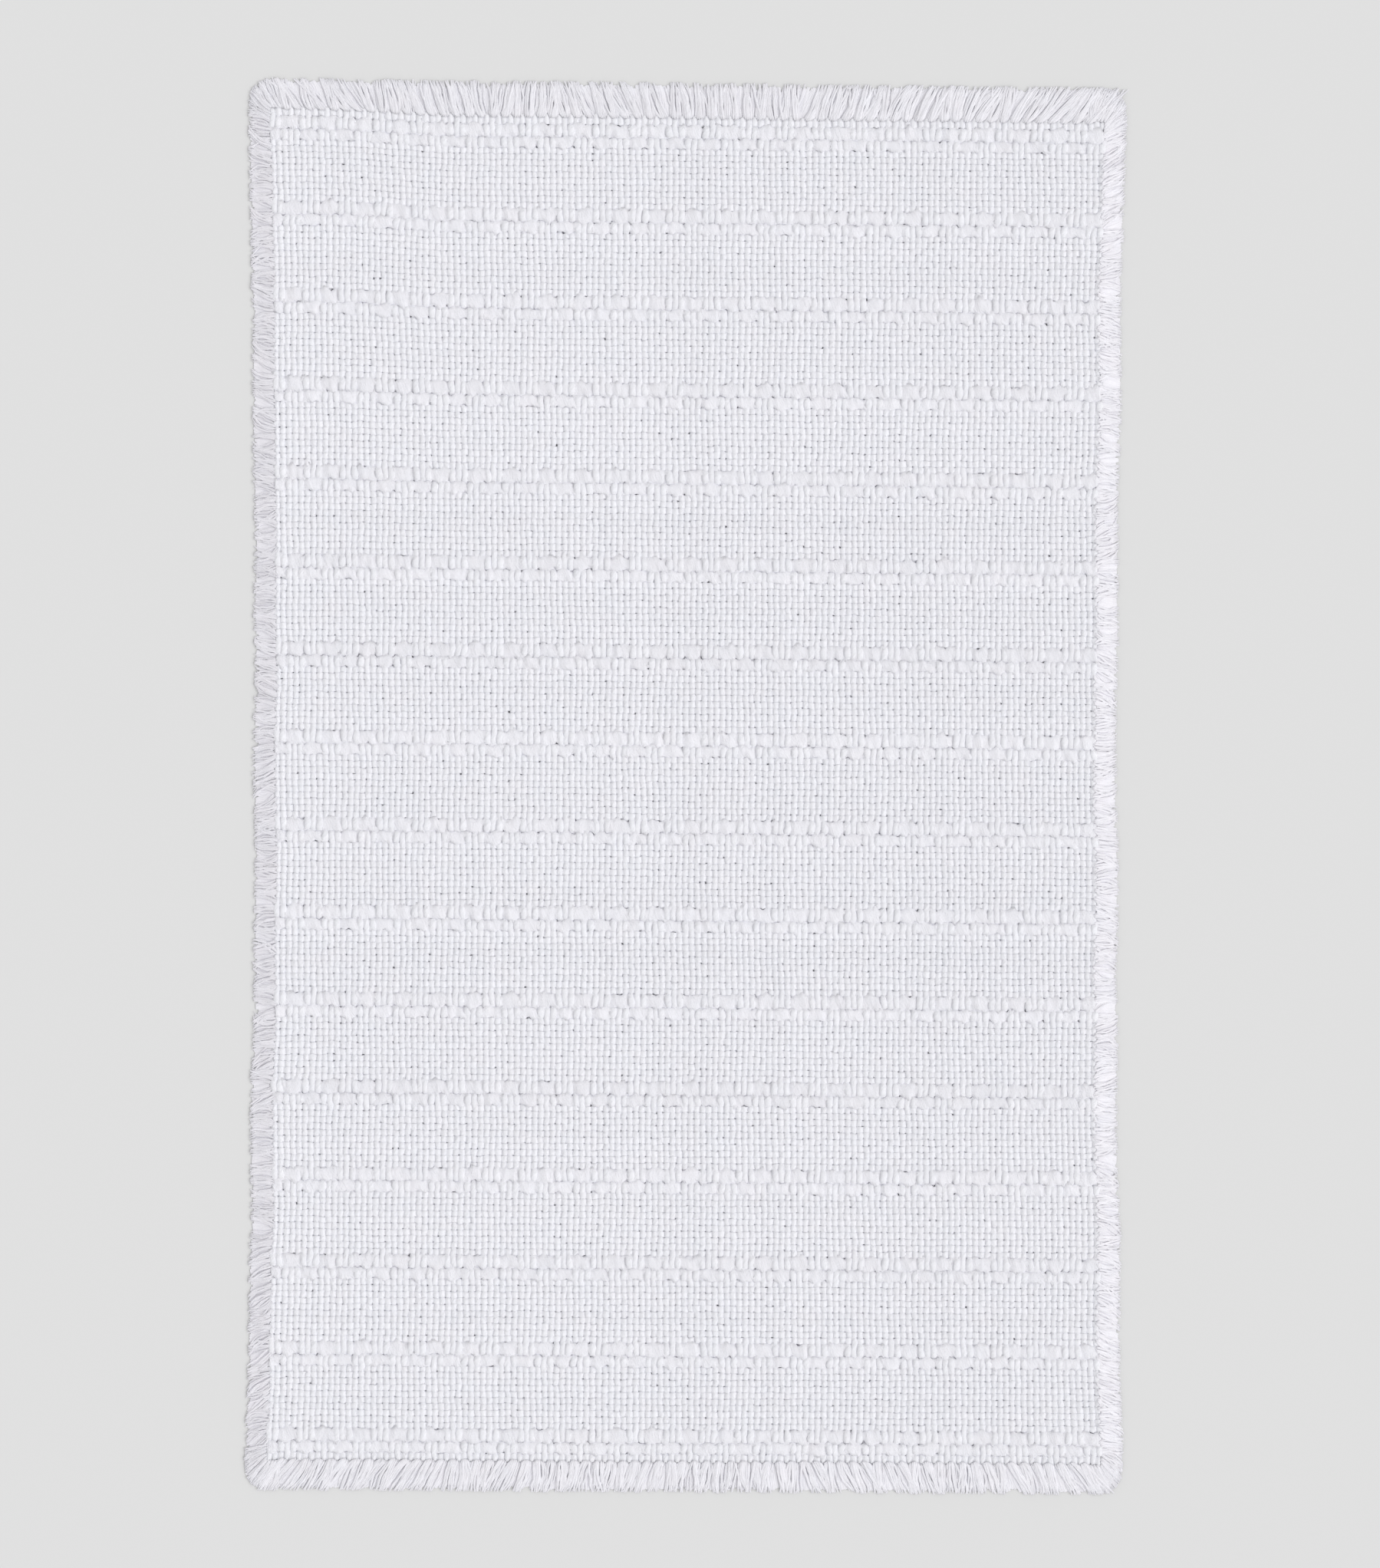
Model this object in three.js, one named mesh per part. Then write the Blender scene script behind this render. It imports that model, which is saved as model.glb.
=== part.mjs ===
// A woven bath mat: a rectangle of thick cotton yarns with a fringe on all four sides.
//
// The mat lies flat. X runs across it, Y along it and Z up, in millimetres, and the origin is
// the centre of its footprint on the floor. The weft yarns cross from side to side: plain ground
// picks with a band of two thick float picks between each section and the next, which stands
// proud of them. The warp ends run the whole length. In the cloth the two pass over and under
// each other. Here the warp is the lower layer and the weft the upper one, each with its own
// true length and width.

import * as THREE from 'three';

// Driving dimensions, in millimetres
const WARP_HEIGHT = 2.2;        // the warp layer, on the floor
const GROUND_HEIGHT = 4.6;      // crown of the plain ground above the floor
const FLOAT_HEIGHT = 5.4;       // crown of a float band above the floor
const CLEARANCE = 0.3;          // gap between pieces that touch

const ENDS = 137;               // warp ends side by side
const END_PITCH = 3.7;
const WARP_GROUPS = 8;

const HEADING_PICK = 6.0;       // the pick at each end that the fringe hangs from
const PICK_PITCH = 3.85;        // one plain pick
const PICKS_IN_GROUND = 10;     // plain picks between two float bands
const FLOAT_PICKS = [8.0, 6.6]; // the two thick picks of a float band
const FLOAT_BANDS = 16;

const TOP_FRINGE = 21.0;
const BOTTOM_FRINGE = 19.6;
const SIDE_FRINGE = 13.05;
const FRINGE_HEIGHT = 2.8;      // the strands lie thinner than the cloth
const FRINGE_ROOT = 3.0;        // unsplit strip where the locks leave the cloth
const LOCK_GAP = 1.4;           // gap between two locks at the tips
const END_LOCKS = 34;           // locks on the top and the bottom
const SIDE_LOCKS = 46;          // locks on each side
const CORNER_LOCKS = 5;         // locks in each corner fan

// Sizes that follow
const FIELD_WIDTH = ENDS * END_PITCH;
const FLOAT_BAND = FLOAT_PICKS[0] + FLOAT_PICKS[1];
const GROUND = PICKS_IN_GROUND * PICK_PITCH;
const FIELD_LENGTH = 2 * HEADING_PICK + FLOAT_BANDS * FLOAT_BAND + (FLOAT_BANDS - 1) * GROUND;
const MAT_LENGTH = TOP_FRINGE + FIELD_LENGTH + BOTTOM_FRINGE;
const FIELD_TOP = MAT_LENGTH / 2 - TOP_FRINGE;
const FIELD_BOTTOM = FIELD_TOP - FIELD_LENGTH;

const mat = new THREE.Group();

// Materials: one white cotton, spun and dyed alike, in four yarns
function cotton(color) {
  return new THREE.MeshStandardMaterial({ color, roughness: 0.95, metalness: 0 });
}
const warpCotton = () => cotton(0xe8e8ed);
const groundCotton = () => cotton(0xe6e6eb);
const floatCotton = () => cotton(0xe9e8ee);
const fringeCotton = () => cotton(0xe4e4ea);

function addPiece(name, geometry, material) {
  const mesh = new THREE.Mesh(geometry, material);
  mesh.name = name;
  mat.add(mesh);
  return mesh;
}

const numbered = (name, i) => `${name}_${String(i).padStart(2, '0')}`;

// A slab of yarns lying side by side, given by its middle, its size and its two faces
function addSlab(name, [x, y], [width, length], [under, crown], material) {
  const size = [width - CLEARANCE, length - CLEARANCE, crown - under];
  addPiece(name, new THREE.BoxGeometry(...size), material).position.set(x, y, (under + crown) / 2);
}

// Weft, from the top of the mat down: a heading pick, then float bands with ground between them
function addWeft() {
  const under = WARP_HEIGHT + CLEARANCE;
  let y = FIELD_TOP;
  const addRow = (name, length, crown, material) => {
    addSlab(name, [0, y - length / 2], [FIELD_WIDTH, length], [under, crown], material);
    y -= length;
  };
  addRow('heading_pick_top', HEADING_PICK, GROUND_HEIGHT, groundCotton());
  for (let band = 1; band <= FLOAT_BANDS; band++) {
    addRow(numbered('float_band', band), FLOAT_BAND, FLOAT_HEIGHT, floatCotton());
    if (band < FLOAT_BANDS) {
      addRow(numbered('ground_weft', band), GROUND, GROUND_HEIGHT, groundCotton());
    }
  }
  addRow('heading_pick_bottom', HEADING_PICK, GROUND_HEIGHT, groundCotton());
}

// Warp ends, in groups from left to right; the groups differ by one end at most
function addWarp() {
  const middle = (FIELD_TOP + FIELD_BOTTOM) / 2;
  for (let group = 0; group < WARP_GROUPS; group++) {
    const first = Math.round((group * ENDS) / WARP_GROUPS);
    const next = Math.round(((group + 1) * ENDS) / WARP_GROUPS);
    const x = ((first + next) / 2) * END_PITCH - FIELD_WIDTH / 2;
    addSlab(numbered('warp_ends', group + 1), [x, middle],
      [(next - first) * END_PITCH, FIELD_LENGTH], [0, WARP_HEIGHT], warpCotton());
  }
}

// A straight fringe: a root strip along X with tapered locks standing out along +Y
function fringeShape(length, reach, locks) {
  const run = length - CLEARANCE;
  const pitch = run / locks;
  const shape = new THREE.Shape();
  shape.moveTo(-run / 2, CLEARANCE / 2);
  shape.lineTo(run / 2, CLEARANCE / 2);
  for (let lock = locks - 1; lock >= 0; lock--) {
    const left = -run / 2 + lock * pitch;
    shape.lineTo(left + pitch, FRINGE_ROOT);
    shape.lineTo(left + pitch - LOCK_GAP / 2, reach);
    shape.lineTo(left + LOCK_GAP / 2, reach);
    if (lock > 0) {
      shape.lineTo(left + LOCK_GAP / 8, FRINGE_ROOT);
    }
  }
  shape.lineTo(-run / 2, FRINGE_ROOT);
  shape.closePath();
  return shape;
}

// A corner fan: locks that spread from the corner of the cloth over a quarter turn
function fanShape(reachX, reachY) {
  const step = Math.PI / 2 / CORNER_LOCKS;
  const split = 0.45;            // share of the reach where the locks part
  const open = step * 0.14;      // half the angle between two locks at the tips
  const point = (angle, share) => [
    reachX * share * Math.cos(angle),
    reachY * share * Math.sin(angle),
  ];
  const shape = new THREE.Shape();
  shape.moveTo(0, 0);
  for (let lock = 0; lock < CORNER_LOCKS; lock++) {
    const start = lock * step;
    shape.lineTo(...point(start + (lock ? open : 0), 1));
    shape.lineTo(...point(start + step / 2, 1));
    shape.lineTo(...point(start + step - (lock < CORNER_LOCKS - 1 ? open : 0), 1));
    if (lock < CORNER_LOCKS - 1) {
      shape.lineTo(...point(start + step, split));
    }
  }
  shape.closePath();
  return shape;
}

function extruded(shape) {
  return new THREE.ExtrudeGeometry(shape, { depth: FRINGE_HEIGHT, bevelEnabled: false });
}

// Fringes: the yarns' own tails past the edge of the cloth, lying on the floor
function addFringes() {
  const halfWidth = FIELD_WIDTH / 2;
  const middle = (FIELD_TOP + FIELD_BOTTOM) / 2;
  const sides = [
    ['fringe_top', FIELD_WIDTH, TOP_FRINGE, END_LOCKS, 0, FIELD_TOP, 0],
    ['fringe_left', FIELD_LENGTH, SIDE_FRINGE, SIDE_LOCKS, -halfWidth, middle, 90],
    ['fringe_bottom', FIELD_WIDTH, BOTTOM_FRINGE, END_LOCKS, 0, FIELD_BOTTOM, 180],
    ['fringe_right', FIELD_LENGTH, SIDE_FRINGE, SIDE_LOCKS, halfWidth, middle, -90],
  ];
  for (const [name, length, reach, locks, x, y, turn] of sides) {
    const fringe = addPiece(name, extruded(fringeShape(length, reach, locks)), fringeCotton());
    fringe.rotation.z = THREE.MathUtils.degToRad(turn);
    fringe.position.set(x, y, 0);
  }

  // Each fan is the same shape with its two reaches swapped where it is turned a quarter
  const inset = CLEARANCE / 2;
  const corners = [
    ['corner_fringe_top_right', SIDE_FRINGE, TOP_FRINGE, halfWidth, FIELD_TOP, 0],
    ['corner_fringe_top_left', TOP_FRINGE, SIDE_FRINGE, -halfWidth, FIELD_TOP, 90],
    ['corner_fringe_bottom_left', SIDE_FRINGE, BOTTOM_FRINGE, -halfWidth, FIELD_BOTTOM, 180],
    ['corner_fringe_bottom_right', BOTTOM_FRINGE, SIDE_FRINGE, halfWidth, FIELD_BOTTOM, -90],
  ];
  for (const [name, reachX, reachY, x, y, turn] of corners) {
    const fan = addPiece(name, extruded(fanShape(reachX - inset, reachY - inset)),
      fringeCotton());
    fan.rotation.z = THREE.MathUtils.degToRad(turn);
    fan.position.set(x + Math.sign(x) * inset, y + Math.sign(y) * inset, 0);
  }
}

addWeft();
addWarp();
addFringes();

export default mat;
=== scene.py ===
import math

import bpy
from bpy.props import FloatProperty, FloatVectorProperty, IntProperty, PointerProperty
from bpy.types import Operator, Panel, PropertyGroup
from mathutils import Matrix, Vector


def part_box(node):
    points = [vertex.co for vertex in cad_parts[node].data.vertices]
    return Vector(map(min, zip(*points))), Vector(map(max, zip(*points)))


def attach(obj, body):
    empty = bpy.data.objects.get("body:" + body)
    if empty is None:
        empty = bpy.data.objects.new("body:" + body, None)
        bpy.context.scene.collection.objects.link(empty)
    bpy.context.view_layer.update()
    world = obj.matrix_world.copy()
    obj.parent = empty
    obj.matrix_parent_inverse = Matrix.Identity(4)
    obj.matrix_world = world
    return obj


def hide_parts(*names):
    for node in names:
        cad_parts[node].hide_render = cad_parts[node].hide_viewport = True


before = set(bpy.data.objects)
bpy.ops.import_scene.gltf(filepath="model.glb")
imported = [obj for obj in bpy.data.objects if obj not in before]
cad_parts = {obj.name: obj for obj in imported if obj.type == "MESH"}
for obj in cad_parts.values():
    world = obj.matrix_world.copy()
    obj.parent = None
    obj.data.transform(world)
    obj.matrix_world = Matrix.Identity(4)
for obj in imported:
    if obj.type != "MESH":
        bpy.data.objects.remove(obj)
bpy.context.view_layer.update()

bl_info = {
    "name": "Woven Bath Mat",
    "version": (1, 0, 0),
    "blender": (4, 5, 0),
    "location": "View3D > Sidebar > Bath Mat",
    "description": "Weaves a thick cotton bath mat yarn by yarn and fringes its four sides",
    "category": "Add Mesh",
}

BODY = "root"

# What the frame says about the cloth: its four edges and its sections
WARP_NODES = sorted(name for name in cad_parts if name.startswith("warp_ends"))
GROUND_NODES = sorted(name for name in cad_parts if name.startswith("ground_weft"))
FLOAT_NODES = sorted(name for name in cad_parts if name.startswith("float_band"))
CLOTH_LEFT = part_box(WARP_NODES[0])[0][0]
CLOTH_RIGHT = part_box(WARP_NODES[-1])[1][0]
CLOTH_BOTTOM, CLOTH_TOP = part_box(WARP_NODES[0])[0][1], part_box(WARP_NODES[0])[1][1]
CLOTH_WIDTH = CLOTH_RIGHT - CLOTH_LEFT
CLOTH_LENGTH = CLOTH_TOP - CLOTH_BOTTOM

ENDS = 137                 # warp ends across the cloth
GROUND_PICKS = 10          # plain picks between two float bands
FLOAT_PICKS = 2            # thick picks in a float band
REPEAT_PICKS = GROUND_PICKS + FLOAT_PICKS
BASKET = 3                 # ends that float side by side
LAST_PICK = len(FLOAT_NODES) * REPEAT_PICKS - GROUND_PICKS + 1
LOW_EVERY = 3              # one strand in so many lies flat under the others
STRAND_SIDES = 4           # corners of a strand's section
THICKNESSES = (0.75, 1.15) # thinnest and thickest strand, as shares of the usual one
ROUNDING = 0.001           # keeps a whole number above its step when it is rounded down

# How fine each kind of unevenness is, in features to the metre
DRIFT_SCALE = 14.0         # slow drift of the whole cloth
TRIM_SCALE = 40.0          # how the fringe's edge comes and goes
TINT_SCALE = 90.0          # faint changes of tint
WOBBLE_SCALE = 100.0       # a yarn that strays by itself
SHIFT_SCALE = 150.0        # neighbouring yarns that stray together
SWELL_SCALE = 170.0        # thick and thin places of a yarn
BLOTCH_SCALE = 260.0       # blotches of whiteness
LUMP_SCALE = 380.0         # soft lumps on a yarn
FIBRE_SCALE = 1100.0       # single fibres


# ---------------------------------------------------------------- settings

def length(name, description, default, **more):
    """A length property, kept in metres and shown in the scene's unit."""
    return FloatProperty(name=name, description=description, default=default, min=0.0,
                         unit="LENGTH", subtype="DISTANCE", precision=5, **more)


def share(name, description, default, most=1.0):
    """A plain factor."""
    return FloatProperty(name=name, description=description, default=default, min=0.0,
                         max=most, subtype="FACTOR")


def corners(name, description, default):
    """How many corners a round section is made with."""
    return IntProperty(name=name, description=description, default=default, min=4)


def colour(name, description, default):
    """A linear colour."""
    return FloatVectorProperty(name=name, description=description, default=default,
                               subtype="COLOR", size=3, min=0.0, max=1.0)


class WeaveSettings(PropertyGroup):
    """Sizes of the yarns and of the way they cross."""
    wide_pick: length("First float pick", "Height of the wider thick pick of a band", 0.0080)
    narrow_pick: length("Second float pick", "Height of the narrower thick pick", 0.0066)
    heading_pick: length("Heading pick", "Height of the pick that the fringe hangs from", 0.0060)
    warp_thickness: length("Warp thickness", "Flattened thickness of a warp end", 0.0023)
    ground_thickness: length("Ground thickness", "Flattened thickness of a plain pick", 0.0023)
    float_thickness: length("Float thickness", "Flattened thickness of a thick pick", 0.0031)
    warp_fill: share("Warp fill", "Width of a warp end over its pitch", 1.05, most=1.5)
    weft_fill: share("Weft fill", "Width of a pick over its pitch", 1.15, most=1.5)
    warp_arch: share("Warp arch", "How round a warp end arches; low is flat-topped", 0.30)
    weft_arch: share("Weft arch", "How round a pick arches; low is flat-topped", 0.85)
    pinch: share("Pinch", "How much a yarn narrows where it dives between its neighbours", 0.40)
    dive: length("Dive", "Length over which a yarn goes from one face to the other", 0.0038)
    unevenness: share("Unevenness", "How much the yarns swell and thin out", 0.24)
    lumpiness: share("Lumpiness", "How lumpy the soft surface of a yarn is", 0.26)
    wander: length("Wander", "How far the cloth strays from straight lines", 0.0010)
    wobble: length("Wobble", "How far a yarn strays by itself", 0.0014)
    float_sink: length("Float sink", "How far a thick pick lies below its neighbours", 0.0005)
    float_lift: length("Float lift", "How far a thick pick fills the room under warp floats", 0.0012)
    float_dimple: length("Float dimple", "Depth of the hollow in the middle of a float", 0.0004)
    ply_depth: share("Ply depth", "How deep the two plies of a yarn cut into its outline", 0.08)
    ply_pitch: length("Ply pitch", "Length of one full turn of the two plies", 0.0105)
    squareness: share("Squareness", "How boxy a pick's section is; 0 is an ellipse", 0.64)
    warp_sides: corners("Warp sides", "Corners of a warp end's section", 6)
    ground_sides: corners("Ground sides", "Corners of a plain pick's section", 8)
    float_sides: corners("Float sides", "Corners of a thick pick's section", 10)
    top_skew: length("Top skew", "How far the top edge drops from left to right", 0.0056)
    corner_lift: length("Corner lift", "How far the top left corner is pulled up", 0.0034)
    bottom_skew: length("Bottom skew", "How far the bottom edge drops from left to right", 0.0030)
    waist: length("Waist", "How far each long side draws in at the middle", 0.0042)
    slack: length("Slack", "How far the rows gather to the top and the bottom", 0.0016)
    lean: length("Lean", "How far the top leans to the right", 0.0011)


class FringeSettings(PropertyGroup):
    """Sizes of the strands that the yarn tails open into."""
    top_reach: length("Top reach", "Length of the fringe at the top", 0.0208)
    bottom_reach: length("Bottom reach", "Length of the fringe at the bottom", 0.0180)
    side_reach: length("Side reach", "Length of the fringe on the long sides", 0.0130)
    end_strand: length("End strand", "Thickness of a strand at the top and bottom", 0.00130)
    side_strand: length("Side strand", "Thickness of a strand on the long sides", 0.00110)
    end_spacing: length("End spacing", "Room of a strand at the top and bottom", 0.00041)
    side_spacing: length("Side spacing", "Room of a strand on the long sides", 0.00048)
    end_lock: length("End lock", "Width of a lock at the top and bottom", 0.0074)
    side_lock: length("Side lock", "Width of a lock on the long sides", 0.0052)


class CottonSettings(PropertyGroup):
    """Colours of the cotton."""
    warp: colour("Warp", "Colour of the warp ends", (0.89, 0.89, 0.935))
    ground: colour("Ground", "Colour of the plain picks", (0.885, 0.885, 0.93))
    thick: colour("Float picks", "Colour of the thick picks", (0.89, 0.885, 0.935))
    strands: colour("Strands", "Colour of the fringe at the top and bottom", (0.92, 0.91, 0.962))
    # Painted light: the side strands use a lighter copy of the end strands' cotton. It lifts the
    # shade that the cloth casts on the side fringe, most of all on the left
    lit_side_strands: colour("Side strands", "Colour of the fringe on the long sides",
                         (0.96, 0.945, 1.0))
    floor: colour("Floor", "Colour of the pale floor", (0.74, 0.74, 0.74))


class StageSettings(PropertyGroup):
    """The camera and the lights."""
    view_height: length("View height", "Height of the picture at the floor", 0.9593)
    view_shift: length("View shift", "How far right of the mat the camera stands", 0.0026)
    lens: FloatProperty(name="Lens", description="Focal length in millimetres", default=85.0)
    key: FloatProperty(name="Key", description="Strength of the light from the right",
                       default=1.33)
    key_tilt: FloatProperty(name="Key tilt", description="How far from overhead the key stands",
                            default=math.radians(44), subtype="ANGLE")
    key_spread: FloatProperty(name="Key spread", description="How wide and soft the key is",
                              default=math.radians(51), subtype="ANGLE")
    fill: FloatProperty(name="Fill", description="Strength of the light from all round",
                        default=0.71)


# ---------------------------------------------------------------- writing node trees

def operation(name, swapped=False):
    """A method that writes one arithmetic node, for the operators of Value."""
    def written(self, other):
        pair = (other, self) if swapped else (self, other)
        return self.tree.math(name, *pair)
    return written


class Value:
    """A socket of a tree, written in a formula as a number is."""
    __add__ = __radd__ = operation("ADD")
    __sub__ = operation("SUBTRACT")
    __rsub__ = operation("SUBTRACT", swapped=True)
    __mul__ = __rmul__ = operation("MULTIPLY")
    __truediv__ = operation("DIVIDE")
    __rtruediv__ = operation("DIVIDE", swapped=True)
    __mod__ = operation("FLOORED_MODULO")
    __pow__ = operation("POWER")
    __lt__ = operation("LESS_THAN")
    __gt__ = operation("GREATER_THAN")

    def __init__(self, tree, socket):
        self.tree, self.socket = tree, socket


SOCKETS = {"value": "NodeSocketFloat", "count": "NodeSocketInt", "vector": "NodeSocketVector",
           "colour": "NodeSocketColor", "mesh": "NodeSocketGeometry",
           "material": "NodeSocketMaterial"}


class Tree:
    """Writes one node group: its named inputs and outputs, its nodes and its formulas."""

    def __init__(self, name, kind, inputs, outputs):
        self.group = bpy.data.node_groups.new(name, kind)
        for way, sockets in (("INPUT", inputs), ("OUTPUT", outputs)):
            for label, (socket_kind, default) in sockets.items():
                socket = self.group.interface.new_socket(
                    label, in_out=way, socket_type=SOCKETS[socket_kind])
                if default is not None:
                    socket.default_value = default
        self.given = self.group.nodes.new("NodeGroupInput")
        self.result = self.group.nodes.new("NodeGroupOutput")

    def __getitem__(self, label):
        return Value(self, self.given.outputs[label])

    def give(self, **values):
        """Wires results to the group's outputs, whose names have _ for a space."""
        self.fill(self.result, values)

    def fill(self, node, named):
        """Fills a node's inputs by name, with _ for a space."""
        for label, value in named.items():
            self.wire(value, node.inputs[label.replace("_", " ")])

    def wire(self, value, socket):
        """Puts a value into a socket: a link for a Value, else the plain number or vector."""
        if isinstance(value, Value):
            self.group.links.new(value.socket, socket)
        elif value is not None:
            socket.default_value = value

    def node(self, idname, *values, out=0, settings=(), **named):
        """Adds a node, sets it up, fills its inputs in order or by name; gives one output."""
        node = self.group.nodes.new(idname)
        count = len(self.group.nodes)
        node.location = (count % 16 * 190, -(count // 16) * 260)
        for key, setting in dict(settings).items():
            setattr(node, key, setting)
        for socket, value in zip(node.inputs, values):
            self.wire(value, socket)
        self.fill(node, named)
        return Value(self, node.outputs[out])

    def math(self, operation, *values):
        return self.node("ShaderNodeMath", *values, settings={"operation": operation})

    def floor(self, value):
        return self.math("FLOOR", value)

    def least(self, a, b):
        return self.math("MINIMUM", a, b)

    def most(self, a, b):
        return self.math("MAXIMUM", a, b)

    def sine(self, turns):
        """Sine of an angle given in turns."""
        return self.math("SINE", turns * math.tau)

    def mix(self, a, b, weight):
        return a + (b - a) * weight

    def ease(self, value, low, high):
        """Goes smoothly from 0 at low to 1 at high."""
        return self.node("ShaderNodeMapRange", value, low, high, 0.0, 1.0,
                         settings={"interpolation_type": "SMOOTHSTEP"})

    def vector(self, x, y, z):
        return self.node("ShaderNodeCombineXYZ", x, y, z)

    def parts(self, vector):
        node = self.group.nodes.new("ShaderNodeSeparateXYZ")
        self.wire(vector, node.inputs[0])
        return [Value(self, socket) for socket in node.outputs]

    def vmath(self, operation, *values, out=0):
        return self.node("ShaderNodeVectorMath", *values, out=out,
                         settings={"operation": operation})

    def scaled(self, vector, factor):
        node = self.group.nodes.new("ShaderNodeVectorMath")
        node.operation = "SCALE"
        self.wire(vector, node.inputs[0])
        self.wire(factor, node.inputs["Scale"])
        return Value(self, node.outputs[0])

    def noise(self, vector, scale, out=0, detail=1.0, roughness=0.5):
        """Smooth noise from -1 to 1 (or its colour, from 0 to 1, for out=1)."""
        fac = self.node("ShaderNodeTexNoise", Vector=vector, Scale=scale, Detail=detail,
                        Roughness=roughness, out=out)
        return fac if out else (fac - 0.5) * 2.0

    def group_call(self, other, **named):
        """Places another group in this one; gives a function from output name to value."""
        kind = {"GeometryNodeTree": "GeometryNodeGroup", "ShaderNodeTree": "ShaderNodeGroup"}
        node = self.group.nodes.new(kind[self.group.bl_idname])
        node.node_tree = other
        self.fill(node, named)
        return lambda label: Value(self, node.outputs[label])


class GeometryTree(Tree):
    """A geometry node group, with the few mesh steps that every yarn needs."""

    def __init__(self, name, inputs, outputs):
        super().__init__(name, "GeometryNodeTree", inputs, outputs)

    def attribute(self, name, kind="FLOAT"):
        node = self.group.nodes.new("GeometryNodeInputNamedAttribute")
        node.data_type = kind
        node.inputs["Name"].default_value = name
        return Value(self, node.outputs["Attribute"])

    def store(self, mesh, name, value, kind="FLOAT"):
        return self.node("GeometryNodeStoreNamedAttribute", Geometry=mesh, Name=name,
                         Value=value, settings={"data_type": kind, "domain": "POINT"})

    def forget(self, mesh, name):
        return self.node("GeometryNodeRemoveAttribute", Geometry=mesh, Name=name)

    def random(self, low, high, which, seed):
        """A number drawn for each value of which, always the same for one seed."""
        node = self.group.nodes.new("FunctionNodeRandomValue")
        node.data_type = "FLOAT"
        for label, value in (("Min", low), ("Max", high), ("ID", which), ("Seed", seed)):
            socket = [s for s in node.inputs if s.name == label and s.enabled][0]
            self.wire(value, socket)
        return Value(self, [s for s in node.outputs if s.enabled][0])

    def draw(self, low, high, which, seed):
        """A random number whose seed counts on from the group's own input Seed."""
        return self.random(low, high, which, self["Seed"] + seed)


def sizes(settings, *names):
    """Inputs for a tree, one for each of the settings named, filled with its value."""
    return {name.replace("_", " ").capitalize(): ("value", getattr(settings, name))
            for name in names}


# ---------------------------------------------------------------- the weave, as node groups

def weave_rule(weave):
    """Group: for one end and one pick, which is on top, and where the pick lies."""
    t = GeometryTree("Weave rule", {"End": ("value", 0.0), "Pick": ("value", 0.0),
                                    "Plain pick": ("value", plain_pick_height(weave)),
                                    **sizes(weave, "wide_pick", "narrow_pick", "heading_pick",
                                            "ground_thickness", "float_thickness")},
                     {"Over": ("value", None), "Start": ("value", None),
                      "Height": ("value", None), "Half": ("value", None),
                      "Middle": ("value", None), "Float": ("value", None),
                      "Place": ("value", None)})
    wide_pick, narrow_pick, heading_pick = t["Wide pick"], t["Narrow pick"], t["Heading pick"]
    plain_pick = t["Plain pick"]
    repeat_height = wide_pick + narrow_pick + GROUND_PICKS * plain_pick
    counted = t["Pick"] - 1.0
    row = counted % REPEAT_PICKS
    repeat = t.floor(counted / REPEAT_PICKS + ROUNDING)
    wide = row < 0.5
    floats = row < 1.5
    narrow = floats - wide
    first = t["Pick"] < 0.5
    heading = first + (t["Pick"] > LAST_PICK - 0.5)
    start = (repeat * repeat_height + heading_pick
             + t.least(row, 1.0) * wide_pick
             + t.least(t.most(row - 1.0, 0.0), 1.0) * narrow_pick
             + t.most(row - 2.0, 0.0) * plain_pick)
    start = start * (1.0 - first)
    height = (wide * (wide_pick - plain_pick) + narrow * (narrow_pick - plain_pick)
              + heading * (heading_pick - plain_pick) + plain_pick)
    place = (t["End"] + narrow * BASKET + 1.0) % (2.0 * BASKET)
    plain = 1.0 - 2.0 * ((t["End"] + t["Pick"]) % 2.0)
    basket = 2.0 * (place < BASKET - 0.5) - 1.0
    middle = floats * ((place - 1.0) * (place - 1.0) < 0.25)
    half = t.mix(t["Ground thickness"] / 2, t["Float thickness"] / 2, floats)
    t.give(Over=t.mix(plain, basket, floats), Start=start, Height=height, Half=half,
           Middle=middle, Float=floats, Place=place)
    return t.group


def plain_pick_height(weave):
    """Height of a plain pick: what the other picks leave of the cloth, shared out."""
    bands = len(FLOAT_NODES)
    thick = bands * (weave.wide_pick + weave.narrow_pick) + 2 * weave.heading_pick
    return (CLOTH_LENGTH - thick) / ((bands - 1) * GROUND_PICKS)


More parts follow.
